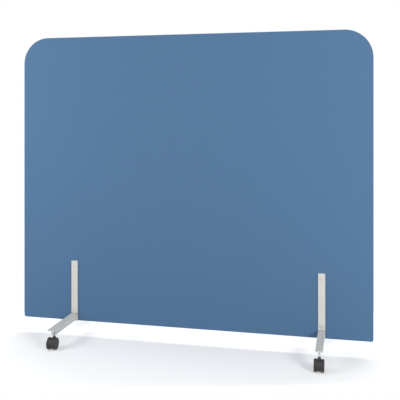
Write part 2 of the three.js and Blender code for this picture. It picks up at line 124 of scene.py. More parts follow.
# A node's mesh is loose triangles, so the copy is merged, and its flat faces become whole.
def copyNode(node):
    piece = bpy.data.objects.new(node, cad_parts[node].data.copy())
    bpy.context.scene.collection.objects.link(piece)
    piece.data.materials.clear()
    startEdit(piece)
    bpy.ops.mesh.select_all(action="SELECT")
    bpy.ops.mesh.remove_doubles(threshold=mergeWithin)
    bpy.ops.mesh.dissolve_limited(angle_limit=math.radians(flatWithin))
    endEdit()
    return piece


def placeCopy(model, name, move):
    piece = bpy.data.objects.new(name, model.data.copy())
    bpy.context.scene.collection.objects.link(piece)
    piece.data.transform(move)
    return piece


def applyModifier(piece, kind, **settings):
    selectOnly(piece)
    modifier = piece.modifiers.new(kind.title(), kind)
    for name, value in settings.items():
        setattr(modifier, name, value)
    bpy.ops.object.modifier_apply(modifier=modifier.name)


# Smooth across the small roundings, while large flat faces keep their own direction.
def smoothPiece(piece, degrees):
    selectOnly(piece)
    bpy.ops.object.shade_smooth_by_angle(angle=math.radians(degrees))
    applyModifier(piece, "WEIGHTED_NORMAL", keep_sharp=True, weight=100)


def roundEdges(piece, width, steps, degrees):
    applyModifier(piece, "BEVEL", width=width, segments=steps, limit_method="ANGLE",
                  angle_limit=math.radians(degrees))


def cutWith(piece, *cutters, operation="DIFFERENCE"):
    for cutter in cutters:
        applyModifier(piece, "BOOLEAN", operation=operation, solver="EXACT", object=cutter)
        bpy.data.objects.remove(cutter)


# Small helpers for materials.
def newMaterial(name):
    material = bpy.data.materials.new(name)
    material.use_nodes = True
    tree = material.node_tree
    shader = tree.nodes["Principled BSDF"]
    return material, tree, shader


def addNode(tree, kind, links=None, **settings):
    node = tree.nodes.new(kind)
    for name, value in settings.items():
        setattr(node, name, value)
    for socket, value in (links or {}).items():
        if isinstance(value, bpy.types.NodeSocket):
            tree.links.new(value, node.inputs[socket])
        else:
            node.inputs[socket].default_value = value
    return node


def calculate(tree, operation, first, second=0.0):
    return addNode(tree, "ShaderNodeMath", {0: first, 1: second}, operation=operation).outputs[0]


def noise(tree, place, scale, detail=2.0, roughness=0.5):
    links = {"Vector": place, "Scale": scale, "Detail": detail, "Roughness": roughness}
    return addNode(tree, "ShaderNodeTexNoise", links).outputs["Fac"]


def blendColours(tree, amount, first, second):
    links = {"Factor": amount, 6: first, 7: second}
    return addNode(tree, "ShaderNodeMix", links, data_type="RGBA").outputs[2]


def spread(tree, value, low, high):
    links = {"Value": value, "To Min": low, "To Max": high}
    return addNode(tree, "ShaderNodeMapRange", links).outputs["Result"]


def bump(tree, shader, height, distance, strength):
    links = {"Height": height, "Distance": distance, "Strength": strength}
    tree.links.new(addNode(tree, "ShaderNodeBump", links).outputs["Normal"], shader.inputs["Normal"])


def objectPlace(tree, stretch=(1.0, 1.0, 1.0), turn=0.0):
    place = addNode(tree, "ShaderNodeTexCoord").outputs["Object"]
    links = {"Vector": place, "Scale": stretch, "Rotation": (0, 0, math.radians(turn))}
    return addNode(tree, "ShaderNodeMapping", links).outputs["Vector"]


def srgb(red, green, blue):
    def linear(level):
        level /= 255
        return level / 12.92 if level <= 0.04045 else ((level + 0.055) / 1.055) ** 2.4
    return (linear(red), linear(green), linear(blue), 1.0)


# Camera: the photograph's view.
cameraView = {
    "place": (0.7051, -2.8646, 0.9976),
    "turn": 12.883,  # degrees to the left of straight at the panel
    "lens": 59.16,
    "shiftDown": 0.2079,
}


def addCamera():
    data = bpy.data.cameras.new("camera")
    data.lens = cameraView["lens"]
    data.shift_y = -cameraView["shiftDown"]
    camera = bpy.data.objects.new("camera", data)
    camera.location = cameraView["place"]
    camera.rotation_euler = (math.radians(90), 0, math.radians(cameraView["turn"]))
    bpy.context.scene.collection.objects.link(camera)
    bpy.context.scene.camera = camera


# Studio: pale floor, white surroundings, soft lamps.
studio = {
    "floorSize": 24.0,
    "floorTone": 0.80,
    "floorLift": 0.33,  # added where the camera or a reflection sees the floor
    "fadeStart": 0.49,  # the floor turns plain white between these distances
    "fadeEnd": 0.53,
    "fadeAlong": 0.3,  # the distance counts this much along the shade's long axis
    "fadeTurn": 12.9,  # degrees from that axis to the panel
    "ambient": 0.22,
    "lamps": {  # place, aim, width, height, watts
        "rearStrip": ((0.0, 3.1, 2.0), (0.0, 0.0, 0.0), 8.0, 0.5, 150),
        "overhead": ((0.0, 0.6, 3.1), (0.0, -0.1, 0.0), 2.2, 1.0, 30),
        "frontLeft": ((-1.95, -1.3, 1.45), (-0.4, 0.0, 0.6), 0.9, 0.9, 21),
        "frontRight": ((2.6, -2.5, 1.5), (0.2, 0.0, 0.8), 1.0, 1.0, 64),
        "frontTop": ((0.0, -2.2, 3.0), (0.0, 0.0, 0.5), 1.6, 0.8, 10),
    },
}


# Seen directly, in a reflection or through glass.
def seenRay(tree):
    ray = addNode(tree, "ShaderNodeLightPath").outputs
    seen = calculate(tree, "MAXIMUM", ray["Is Camera Ray"], ray["Is Glossy Ray"])
    return calculate(tree, "MAXIMUM", seen, ray["Is Transmission Ray"])


def addFloor():
    bpy.ops.object.select_all(action="DESELECT")
    bpy.ops.mesh.primitive_plane_add(size=studio["floorSize"])
    floor = bpy.context.object
    floor.name = "studio_floor"
    material, tree, shader = newMaterial("studio_floor")
    tone = studio["floorTone"]
    shader.inputs["Base Color"].default_value = (tone, tone, tone, 1)
    shader.inputs["Roughness"].default_value = 1.0
    shader.inputs["Specular IOR Level"].default_value = 0.0
    shader.inputs["Emission Color"].default_value = (1, 1, 1, 1)
    seen = seenRay(tree)
    lift = calculate(tree, "MULTIPLY", seen, studio["floorLift"])
    tree.links.new(lift, shader.inputs["Emission Strength"])
    turned = objectPlace(tree, turn=-studio["fadeTurn"])
    place = addNode(tree, "ShaderNodeVectorMath", {0: turned, 1: (studio["fadeAlong"], 1, 1)},
                    operation="MULTIPLY").outputs[0]
    distance = addNode(tree, "ShaderNodeVectorMath", {0: place}, operation="LENGTH").outputs["Value"]
    fade = addNode(tree, "ShaderNodeMapRange", {
        "Value": distance, "From Min": studio["fadeStart"], "From Max": studio["fadeEnd"],
    }, interpolation_type="SMOOTHSTEP").outputs["Result"]
    white = addNode(tree, "ShaderNodeEmission").outputs[0]
    mixed = addNode(tree, "ShaderNodeMixShader", {
        0: calculate(tree, "MULTIPLY", fade, seen), 1: shader.outputs[0], 2: white}).outputs[0]
    tree.links.new(mixed, tree.nodes["Material Output"].inputs["Surface"])
    material.cycles.emission_sampling = "NONE"  # its glow is only seen, and lights nothing
    floor.data.materials.append(material)


def addSurroundings():
    world = bpy.data.worlds.new("studio")
    world.use_nodes = True
    tree = world.node_tree
    background = tree.nodes["Background"]
    background.inputs["Color"].default_value = (1, 1, 1, 1)
    strength = spread(tree, seenRay(tree), studio["ambient"], 1.0)
    tree.links.new(strength, background.inputs["Strength"])
    bpy.context.scene.world = world
    bpy.context.scene.view_settings.view_transform = "Standard"


def addLamps():
    for name, (place, aim, width, height, watts) in studio["lamps"].items():
        data = bpy.data.lights.new(name, "AREA")
        data.shape = "RECTANGLE"
        data.size = width
        data.size_y = height
        data.energy = watts
        lamp = bpy.data.objects.new(name, data)
        lamp.location = place
        lamp.rotation_euler = (Vector(aim) - Vector(place)).to_track_quat("-Z", "Y").to_euler()
        bpy.context.scene.collection.objects.link(lamp)


addCamera()
addFloor()
addSurroundings()
addLamps()
print("camera and studio")

# Cloth: its weave and colour.
cloth = {
    "colour": srgb(88, 123, 159),
    # dark end for the yarn's own slubs and for the painted shade in the weave's gaps
    "darkYarnAndGapShade": srgb(77, 111, 147),
    "threadPitch": 0.0011,
    "threadHeight": 0.00018,
    "threadFlatness": 0.35,  # how evenly a thread is thick between its crossings
    "threadShade": (0.72, 1.0),  # painted shade, from the gaps to the crowns
    "slubs": (900.0, 160.0),  # per metre, across a thread and along it
    "slubShade": (0.5, 1.5),
    "mottleScale": 14.0,
    "mottleShade": (0.94, 1.06),
    "roughness": (0.98, 0.82),
    "specular": 0.15,
    "sheen": 0.12,
    "sheenRoughness": 0.5,
    "bump": 0.6,
}


# A plain weave in the cloth's own flat coordinates, which are in metres.
def weaveHeight(tree, flat):
    axes = addNode(tree, "ShaderNodeSeparateXYZ", {0: flat}).outputs
    turns = math.pi / cloth["threadPitch"]
    warp, weft = (calculate(tree, "SINE", calculate(tree, "MULTIPLY", axes[i], turns)) for i in (0, 1))
    warpBulge = calculate(tree, "ABSOLUTE", warp)
    weftBulge = calculate(tree, "ABSOLUTE", weft)
    over = calculate(tree, "GREATER_THAN", calculate(tree, "MULTIPLY", warp, weft), 0.0)
    ends = cloth["threadFlatness"]
    warpTop = calculate(tree, "MULTIPLY", warpBulge, calculate(tree, "POWER", weftBulge, ends))
    weftTop = calculate(tree, "MULTIPLY", weftBulge, calculate(tree, "POWER", warpBulge, ends))
    top = addNode(tree, "ShaderNodeMix", {"Factor": over, 2: weftTop, 3: warpTop})
    return top.outputs[0], over


def clothMaterial():
    material, tree, shader = newMaterial("blue_cloth")
    flat = addNode(tree, "ShaderNodeUVMap", uv_map="flat").outputs["UV"]
    height, over = weaveHeight(tree, flat)
    across, along = cloth["slubs"]
    thread = addNode(tree, "ShaderNodeMapping", {"Vector": flat, "Scale": (across, along, 1.0)})
    slubs = noise(tree, thread.outputs["Vector"], 1.0, 2.0)
    cross = addNode(tree, "ShaderNodeMapping", {"Vector": flat, "Scale": (along, across, 1.0)})
    crossSlubs = noise(tree, cross.outputs["Vector"], 1.0, 2.0)
    mottle = noise(tree, flat, cloth["mottleScale"], 3.0)
    yarn = addNode(tree, "ShaderNodeMix", {"Factor": over, 2: slubs, 3: crossSlubs}).outputs[0]
    # painted shade in the weave's gaps, times the yarn's own slubs and mottle
    shade = calculate(tree, "MULTIPLY", spread(tree, height, *cloth["threadShade"]),
                      spread(tree, yarn, *cloth["slubShade"]))
    shade = calculate(tree, "MULTIPLY", shade, spread(tree, mottle, *cloth["mottleShade"]))
    shade = calculate(tree, "MINIMUM", shade, 1.0)
    colour = blendColours(tree, shade, cloth["darkYarnAndGapShade"], cloth["colour"])
    tree.links.new(colour, shader.inputs["Base Color"])
    tree.links.new(spread(tree, yarn, *cloth["roughness"]), shader.inputs["Roughness"])
    shader.inputs["Specular IOR Level"].default_value = cloth["specular"]
    shader.inputs["Sheen Weight"].default_value = cloth["sheen"]
    shader.inputs["Sheen Roughness"].default_value = cloth["sheenRoughness"]
    bump(tree, shader, height, cloth["threadHeight"], cloth["bump"])
    return material


# Panel covers.
cover = {
    "topCornerRadius": 0.12,
    "bottomCornerRadius": 0.009,
    "topCornerSteps": 32,
    "bottomCornerSteps": 6,
    "rollRadius": 0.005,  # the cloth rolls over the panel's edge
    "rollSteps": 6,
    "seamWidth": 0.003,  # half of the dip along the seam
    "seamDip": 0.0012,
    "seamRings": ((1.0, 0.0), (0.5, 0.3), (0.0, 1.0)),  # shares of the width and of the dip
    "thickness": 0.0018,
    "boltHoleRadius": 0.0048,
    "boltHoleDepth": 0.2,  # more than the panel's thickness
    "smoothBelow": 40,  # degrees
}


# The cloth draws in where the two covers meet.
def dipSeam(piece, seam, facing, size, centre):
    outside, halfway, edge = cover["seamRings"]
    for share, _ in (outside, halfway):
        ring = seam + facing * cover["seamWidth"] * share
        bpy.ops.mesh.select_all(action="SELECT")
        bpy.ops.mesh.bisect(plane_co=(0, ring, 0), plane_no=(0, 1, 0))
    for share, dip in (halfway, edge):
        ring = seam + facing * cover["seamWidth"] * share
        pickEdges(piece, lambda middle, way: abs(middle.y - ring) < sameSpot)
        inwards = 2 * cover["seamDip"] * dip
        bpy.ops.transform.resize(
            value=(1 - inwards / size.x, 1, 1 - inwards / size.z), center_override=centre)


def cutBoltHoles(piece):
    for leg in ("left", "right"):
        for level in ("lower", "upper"):
            low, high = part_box(f"bolt_{leg}_{level}")
            place = ((low.x + high.x) / 2, 0, (low.z + high.z) / 2)
            cutWith(piece, cylinderAt(cover["boltHoleRadius"], cover["boltHoleDepth"], place,
                                      turn=(math.pi / 2, 0, 0), sides=32))


def addCover(side, material):
    node = side + "_cover"
    low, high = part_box(node)
    facing = -1 if side == "front" else 1
    face = low.y if facing < 0 else high.y
    seam = high.y if facing < 0 else low.y
    size, centre = high - low, (low + high) / 2
    piece = boxAt(centre, size)
    for level, radius, steps in (
        (high.z, cover["topCornerRadius"], cover["topCornerSteps"]),
        (low.z, cover["bottomCornerRadius"], cover["bottomCornerSteps"]),
    ):
        pickEdges(piece, lambda middle, way: abs(way.y) > parallel and abs(middle.z - level) < sameSpot)
        bpy.ops.mesh.bevel(offset=radius, segments=steps, affect="EDGES")
    pickFaces(piece, lambda middle, normal: abs(middle.y - seam) < sameSpot)
    bpy.ops.mesh.delete(type="FACE")
    pickEdges(piece, lambda middle, way: abs(middle.y - face) < sameSpot)
    bpy.ops.mesh.bevel(offset=cover["rollRadius"], segments=cover["rollSteps"], affect="EDGES")
    dipSeam(piece, seam, facing, size, centre)
    endEdit()
    applyModifier(piece, "SOLIDIFY", thickness=cover["thickness"], offset=-1.0, use_even_offset=True)
    cutBoltHoles(piece)
    startEdit(piece)
    bpy.ops.mesh.select_all(action="SELECT")
    piece.data.uv_layers.active.name = "flat"
    bpy.ops.uv.cube_project(
        cube_size=1.0, correct_aspect=False, clip_to_bounds=False, scale_to_bounds=False)
    endEdit()
    smoothPiece(piece, cover["smoothBelow"])
    piece.data.materials.clear()
    piece.data.materials.append(material)
    finishPiece(piece, side + "_cloth_cover", "root", "cover_fabric", node)


def addCovers():
    material = clothMaterial()
    addCover("front", material)
    addCover("rear", material)


addCovers()
print("covers")

# Closing seam: whipped stitches that join the two covers.
stitch = {
    "length": 0.0042,  # across the seam
    "pitch": 0.0062,
    "slant": 0.0014,
    "sink": 0.0007,  # how far the ends go into the cloth
    "rings": (-0.3, 0.0, 0.3),  # where a stitch bends, as shares of its length
    "threadRadius": 0.0004,
    "above": 0.0002,  # the thread's middle over the cloth's edge
    "colour": srgb(70, 103, 140),
    "lightPly": srgb(98, 134, 172),
    "plyScale": 420.0,
    "plyHeight": 0.0001,
    "roughness": (0.75, 0.6),
    "specular": 0.3,
    "bump": 0.7,
    "smoothBelow": 60,
}


def threadMaterial():
    material, tree, shader = newMaterial("blue_thread")
    plies = addNode(tree, "ShaderNodeTexWave", {
        "Vector": objectPlace(tree), "Scale": stitch["plyScale"], "Distortion": 1.5, "Detail": 1.0,
    }, bands_direction="DIAGONAL").outputs["Fac"]
    colour = blendColours(tree, plies, stitch["colour"], stitch["lightPly"])
    tree.links.new(colour, shader.inputs["Base Color"])
    tree.links.new(spread(tree, plies, *stitch["roughness"]), shader.inputs["Roughness"])
    shader.inputs["Specular IOR Level"].default_value = stitch["specular"]
    bump(tree, shader, plies, stitch["plyHeight"], stitch["bump"])
    return material


def stitchModel():
    piece = cylinderAt(stitch["threadRadius"], stitch["length"], (0, 0, 0), sides=6)
    startEdit(piece)
    for share in stitch["rings"]:
        bpy.ops.mesh.select_all(action="SELECT")
        bpy.ops.mesh.bisect(plane_co=(0, 0, share * stitch["length"]), plane_no=(0, 0, 1))
    for end in (-1, 1):
        pickFaces(piece, lambda middle, normal: normal.z * end > parallel)
        bpy.ops.transform.translate(value=(end * stitch["slant"] / 2, stitch["sink"], 0))
    endEdit()
    return piece


# The seam's line round the panel, lying flat, with the panel's inside on its left.
def seamCurve():
    low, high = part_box("front_cover")
    inset = stitch["threadRadius"] - stitch["above"]
    left, right, bottom, top = low.x + inset, high.x - inset, low.z + inset, high.z - inset
    corners = (
        (right, bottom, -90, cover["bottomCornerRadius"], cover["bottomCornerSteps"]),
        (right, top, 0, cover["topCornerRadius"], cover["topCornerSteps"]),
        (left, top, 90, cover["topCornerRadius"], cover["topCornerSteps"]),
        (left, bottom, 180, cover["bottomCornerRadius"], cover["bottomCornerSteps"]),
    )
    points = []
    for x, z, start, outerRadius, steps in corners:
        radius = outerRadius - inset
        centreX = x - radius if x == right else x + radius
        centreZ = z - radius if z == top else z + radius
        for step in range(steps + 1):
            angle = math.radians(start + 90 * step / steps)
            points.append((centreX + radius * math.cos(angle), centreZ + radius * math.sin(angle)))
    data = bpy.data.curves.new("seam_line", "CURVE")
    data.dimensions = "2D"
    spline = data.splines.new("POLY")
    spline.points.add(len(points) - 1)
    for point, (x, z) in zip(spline.points, points):
        point.co = (x, z, 0, 1)
    spline.use_cyclic_u = True
    curve = bpy.data.objects.new("seam_line", data)
    bpy.context.scene.collection.objects.link(curve)
    return curve, spline.calc_length()


def addStitches():
    piece = stitchModel()
    curve, length = seamCurve()
    count = round(length / stitch["pitch"])
    applyModifier(piece, "ARRAY", count=count, use_relative_offset=False, use_constant_offset=True,
                  constant_offset_displace=(length / count, 0, 0))
    applyModifier(piece, "CURVE", object=curve, deform_axis="POS_X")
    bpy.data.objects.remove(curve)
    piece.rotation_euler = (math.pi / 2, 0, 0)
    bakePlace(piece)
    smoothPiece(piece, stitch["smoothBelow"])
    piece.data.materials.append(threadMaterial())
    finishPiece(piece, "edge_seam_stitches", "root", "cover_fabric")


addStitches()
print("seam stitches")

# Sound absorbing boards of dense mineral wool.
absorber = {
    "grid": 0.004,  # size of the fine facets
    "facetsKept": 0.12,  # share of them that stays
    "unevenness": 0.0009,
    "clumpSize": 0.02,
    "colour": srgb(205, 196, 164),
    "darkFibre": srgb(158, 146, 112),
    "mixing": (-0.4, 2.6),  # from all dark fibre to all light
    "fibres": (900, 900, 260),  # per metre
    "fibreHeight": 0.0012,
    "clumpScale": 60.0,
    "specular": 0.05,
    "bump": 0.8,
    "smoothBelow": 50,
    "firmness": 0.95,
}


def woolMaterial():
    material, tree, shader = newMaterial("mineral_wool")
    place = objectPlace(tree)
    fibres = noise(tree, objectPlace(tree, absorber["fibres"]), 1.0, 4.0, 0.7)
    clumps = noise(tree, place, absorber["clumpScale"], 4.0, 0.6)
    amount = spread(tree, calculate(tree, "MULTIPLY", fibres, clumps), *absorber["mixing"])
    tree.links.new(blendColours(tree, amount, absorber["darkFibre"], absorber["colour"]),
                   shader.inputs["Base Color"])
    shader.inputs["Roughness"].default_value = 1.0
    shader.inputs["Specular IOR Level"].default_value = absorber["specular"]
    bump(tree, shader, fibres, absorber["fibreHeight"], absorber["bump"])
    return material


def addAbsorbers():
    material = woolMaterial()
    clumps = bpy.data.textures.new("wool_clumps", "CLOUDS")
    clumps.noise_scale = absorber["clumpSize"]
    clumps.noise_depth = 3
    for bay in ("left", "centre_left", "centre_right", "right"):
        node = "absorber_" + bay
        piece = copyNode(node)
        applyModifier(piece, "REMESH", mode="VOXEL", voxel_size=absorber["grid"])
        applyModifier(piece, "DECIMATE", ratio=absorber["facetsKept"])
        applyModifier(piece, "DISPLACE", texture=clumps, texture_coords="LOCAL", mid_level=1.0,
                      strength=absorber["unevenness"])
        smoothPiece(piece, absorber["smoothBelow"])
        piece.data.materials.append(material)
        finishPiece(piece, bay + "_wool_board", "root", "absorber_board", node)


addAbsorbers()
print("absorbers")

# The timber frame and the backing boards keep their solids.
timber = {
    "light": srgb(214, 184, 140),
    "dark": srgb(170, 132, 88),
    "grain": (1.5, 30),  # along the timber and across it
    "ringScale": 0.9,
    "ringWander": 5.0,
    "pores": (40, 900),
    "poreShade": (0.35, 0.75),
    "poreHeight": 0.0002,
    "roughness": (0.55, 0.8),
    "bump": 0.5,
}
fibreboard = {
    "light": srgb(160, 124, 84),
    "dark": srgb(128, 94, 60),
    "speckScale": 700.0,
    "cloudScale": 18.0,
    "mixing": (-0.4, 1.4),
    "speckHeight": 0.0001,
    "roughness": (0.5, 0.75),
    "bump": 0.4,
}


def grainStretch(along, across, alongX):
    return (along, across, across) if alongX else (across, across, along)


def timberMaterial(name, alongX):
    material, tree, shader = newMaterial(name)
    place = objectPlace(tree, grainStretch(*timber["grain"], alongX))
    wander = noise(tree, place, 1.2, 3.0)
    rings = addNode(tree, "ShaderNodeTexWave", {
        "Vector": place, "Scale": timber["ringScale"], "Distortion": timber["ringWander"],
        "Detail": 3.0, "Detail Scale": 1.5,
    }, bands_direction="Y").outputs["Fac"]
    pores = noise(tree, objectPlace(tree, grainStretch(*timber["pores"], alongX)), 1.0, 2.0)
    amount = calculate(tree, "MULTIPLY", calculate(tree, "ADD", rings, wander),
                       spread(tree, pores, *timber["poreShade"]))
    colour = blendColours(tree, amount, timber["light"], timber["dark"])
    tree.links.new(colour, shader.inputs["Base Color"])
    tree.links.new(spread(tree, pores, *timber["roughness"]), shader.inputs["Roughness"])
    bump(tree, shader, pores, timber["poreHeight"], timber["bump"])
    return material


def boardMaterial():
    material, tree, shader = newMaterial("hard_fibreboard")
    place = objectPlace(tree)
    specks = noise(tree, place, fibreboard["speckScale"], 4.0, 0.7)
    clouds = noise(tree, place, fibreboard["cloudScale"], 3.0)
    amount = spread(tree, calculate(tree, "ADD", specks, clouds), *fibreboard["mixing"])
    colour = blendColours(tree, amount, fibreboard["dark"], fibreboard["light"])
    tree.links.new(colour, shader.inputs["Base Color"])
    tree.links.new(spread(tree, specks, *fibreboard["roughness"]), shader.inputs["Roughness"])
    bump(tree, shader, specks, fibreboard["speckHeight"], fibreboard["bump"])
    return material


def dressNode(node, material):
    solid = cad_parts[node]
    for materialSlot in solid.material_slots:
        materialSlot.material = material
    if not solid.material_slots:
        solid.data.materials.append(material)


def dressFrame():
    upright = timberMaterial("upright_timber", False)
    lying = timberMaterial("lying_timber", True)
    board = boardMaterial()
    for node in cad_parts:
        if node.startswith("frame_"):
            dressNode(node, lying if node.endswith("rail") else upright)
        if node.endswith("backing_board"):
            dressNode(node, board)


dressFrame()
print("frame and boards")

# Painted steel brackets.
bracket = {
    "edgeRounding": (0.0007, 3, 30),  # width, steps, and the angle from which an edge is rounded
    "colour": srgb(225, 224, 219),
    "shadeColour": srgb(216, 215, 210),
    "gloss": (0.5, 0.62),  # roughness, from worn smooth to dull
    "specular": 0.3,
    "cloudScale": 22.0,
    "orangePeel": 0.0008,  # size of the paint's ripples
    "peelHeight": 0.00004,
    "bump": 0.5,
    "beadRadius": 0.0019,
    "beadStep": 0.0011,
    "beadFlatness": 0.55,  # a ripple's length over its width
    "webWeld": (0.0031, 0.001, 0.003),  # from the middle, above the web's foot, below the top plate
    "topPlateWeld": (0.006, 0.0135),  # its two ends, from the middle
    "jointLine": (0.024, 0.0020, 0.0018),  # open joint on top of the foot: length, width, depth
    "plateThickness": 0.005,
    "footTop": 0.034,  # above the bracket's lowest point
    # colour of the painted shade in the joint corner
    "jointShade": srgb(128, 125, 120),
    "jointShadeSize": 0.003,
    "jointShadeCore": 0.6,  # share of that size with the full shade
    "jointShadeDepth": 0.8,
    "smoothBelow": 35,
}


# Painted shade, with some dust, that darkens the corner between the foot's top and the upright plate.
def jointShade(tree, place):
    low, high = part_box("bracket_front_left")
    axes = addNode(tree, "ShaderNodeSeparateXYZ", {0: place}).outputs
    corner = low.z + bracket["footTop"]
    face = abs(high.y) + bracket["plateThickness"]
    above = calculate(tree, "SUBTRACT", axes[2], corner)
    before = calculate(tree, "SUBTRACT", calculate(tree, "ABSOLUTE", axes[1]), face)
    reach = calculate(tree, "MAXIMUM", calculate(tree, "ABSOLUTE", above),
                      calculate(tree, "ABSOLUTE", before))
    size = bracket["jointShadeSize"]
    return addNode(tree, "ShaderNodeMapRange", {
        "Value": reach, "From Min": size * bracket["jointShadeCore"], "From Max": size,
        "To Min": bracket["jointShadeDepth"], "To Max": 0.0,
    }).outputs["Result"]


def paintMaterial():
    material, tree, shader = newMaterial("light_grey_paint")
    place = objectPlace(tree)
    peel = noise(tree, place, 1 / bracket["orangePeel"], 2.0, 0.4)
    clouds = noise(tree, place, bracket["cloudScale"], 3.0)
    colour = blendColours(tree, clouds, bracket["shadeColour"], bracket["colour"])
    # painted shade, with some dust, in the corner where the foot meets the upright plate
    colour = blendColours(tree, jointShade(tree, place), colour, bracket["jointShade"])
    tree.links.new(colour, shader.inputs["Base Color"])
    tree.links.new(spread(tree, clouds, *bracket["gloss"]), shader.inputs["Roughness"])
    shader.inputs["Specular IOR Level"].default_value = bracket["specular"]
    bump(tree, shader, peel, bracket["peelHeight"], bracket["bump"])
    return material


# A row of overlapping ripples, as a welder leaves them, from start to end.
def weldRow(start, end):
    start, end = Vector(start), Vector(end)
    length = (end - start).length
    bpy.ops.object.select_all(action="DESELECT")
    bpy.ops.mesh.primitive_uv_sphere_add(segments=10, ring_count=6, radius=bracket["beadRadius"])
    row = bpy.context.object
    row.scale = (1, 1, bracket["beadFlatness"])
    bakePlace(row)
    applyModifier(row, "ARRAY", use_relative_offset=False, use_constant_offset=True,
                  constant_offset_displace=(0, 0, bracket["beadStep"]),
                  count=round(length / bracket["beadStep"]) + 1)
    row.rotation_euler = (end - start).to_track_quat("Z", "X").to_euler()
    row.location = start
    bakePlace(row)
    return row


def addBracket(end, leg, material):
    node = f"bracket_{end}_{leg}"
    low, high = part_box(node)
    piece = copyNode(node)
    outwards = -1 if end == "front" else 1
    back = high.y if end == "front" else low.y
    plateFace = back + outwards * bracket["plateThickness"]
    middle = (low.x + high.x) / 2
    top = low.z + bracket["footTop"]
    under = top - bracket["plateThickness"]
    length, width, depth = bracket["jointLine"]
    cutWith(piece, boxAt((middle, plateFace + outwards * width / 2, top), (length, width, 2 * depth)))
    roundEdges(piece, *bracket["edgeRounding"])
    rows = []
    webSide, webStart, webEnd = bracket["webWeld"]
    plateStart, plateEnd = bracket["topPlateWeld"]
    for side in (-1, 1):
        x = middle + side * webSide
        rows.append(weldRow((x, plateFace, low.z + webStart), (x, plateFace, under - webEnd)))
        rows.append(weldRow((middle + side * plateStart, plateFace, under),
                            (middle + side * plateEnd, plateFace, under)))
    selectOnly(piece, *rows)
    bpy.ops.object.join()
    smoothPiece(piece, bracket["smoothBelow"])
    piece.data.materials.append(material)
    finishPiece(piece, f"{end}_{leg}_bracket", "root", "bracket_paint", node)


def addBrackets():
    paint = paintMaterial()
    for end in ("front", "rear"):
        for leg in ("left", "right"):
            addBracket(end, leg, paint)


addBrackets()
print("brackets")

# Leg bolts in front, sleeve nuts behind.
bolt = {
    "headRadius": 0.0085,
    "headThickness": 0.0022,
    "headChamfer": 0.0006,
    "headEdge": 0.0002,  # small break under the head
    "shankRadius": 0.003,
    "shankTip": 0.0005,
    "sleeveRadius": 0.0043,
    "sleeveBore": 0.0033,
    "sleeveEndWall": 0.003,
    "sleeveTip": 0.0004,
    "socketAcrossFlats": 0.004,
    "socketDepth": 0.0024,
    "threadPitch": 0.001,
    "threadStand": 0.00018,  # the thread's crest over the shank
    "threadStart": 0.012,  # below the head
    "colour": srgb(228, 227, 224),
    "roughness": (0.3, 0.45),
    "sides": 64,
    "smoothBelow": 30,
}
steelFinish = {
    "marks": (2200, 2200, 300),  # per metre
    "markHeight": 0.00002,
    "stainScale": 120.0,
    "stainShade": 0.72,
    "bump": 0.4,
}
ridge = {"share": 0.46, "steps": 24}  # half of a thread ridge's width over its pitch, steps a turn


# Plated or bare steel, with fine marks along Z and darker stains.
def steelMaterial(name, colour, roughness):
    material, tree, shader = newMaterial(name)
    marks = noise(tree, objectPlace(tree, steelFinish["marks"]), 1.0, 3.0)
    stains = noise(tree, objectPlace(tree), steelFinish["stainScale"], 3.0)
    darker = tuple(steelFinish["stainShade"] * level for level in colour[:3]) + (1.0,)
    tree.links.new(blendColours(tree, stains, darker, colour), shader.inputs["Base Color"])
    tree.links.new(spread(tree, marks, *roughness), shader.inputs["Roughness"])
    shader.inputs["Metallic"].default_value = 1.0
    bump(tree, shader, marks, steelFinish["markHeight"], steelFinish["bump"])
    return material


# A round piece about Z, raised ring by ring from a disc.
def turnedPiece(profile, sides):
    (radius, height), *rings = profile
    bpy.ops.object.select_all(action="DESELECT")
    bpy.ops.mesh.primitive_circle_add(
        vertices=sides, radius=radius, fill_type="NGON", location=(0, 0, height))
    piece = bpy.context.object
    bakePlace(piece)
    startEdit(piece)
    bpy.ops.mesh.select_all(action="SELECT")
    for newRadius, newHeight in rings:
        bpy.ops.mesh.extrude_region_move(TRANSFORM_OT_translate={"value": (0, 0, newHeight - height)})
        share = newRadius / radius
        bpy.ops.transform.resize(value=(share, share, 1), center_override=(0, 0, newHeight))
        radius, height = newRadius, newHeight
    bpy.ops.mesh.select_all(action="SELECT")
    bpy.ops.mesh.remove_doubles(threshold=sameSpot / 10)
    bpy.ops.mesh.normals_make_consistent(inside=False)
    endEdit()
    return piece


# The ridge of a screw thread, wound about Z, with its ends closed.
def threadRidge(radius, pitch, bottom, top):
    turns = int((top - bottom) / pitch) - 1
    half = pitch * ridge["share"]
    bpy.ops.object.select_all(action="DESELECT")
    bpy.ops.mesh.primitive_circle_add(vertices=4, radius=half, rotation=(math.pi / 2, 0, 0),
                                      location=(radius - half, 0, bottom + pitch))
    piece = bpy.context.object
    bakePlace(piece)
    applyModifier(piece, "SCREW", axis="Z", screw_offset=pitch, iterations=turns,
                  steps=ridge["steps"], render_steps=ridge["steps"])
    startEdit(piece)
    bpy.ops.mesh.select_all(action="SELECT")
    bpy.ops.mesh.fill_holes(sides=4)
    bpy.ops.mesh.normals_make_consistent(inside=False)
    endEdit()
    return piece


# A head with its hexagon socket, on top of the rings that are given.
def boltHead(rings):
    radius, chamfer, edge = bolt["headRadius"], bolt["headChamfer"], bolt["headEdge"]
    top = bolt["headThickness"]
    head = turnedPiece([*rings, (radius - edge, 0), (radius, edge), (radius, top - chamfer),
                        (radius - chamfer, top)], bolt["sides"])
    depth = bolt["socketDepth"]
    acrossCorners = bolt["socketAcrossFlats"] / math.sqrt(3)
    cutWith(head, cylinderAt(acrossCorners, 2 * depth, (0, 0, top), sides=6))
    return head


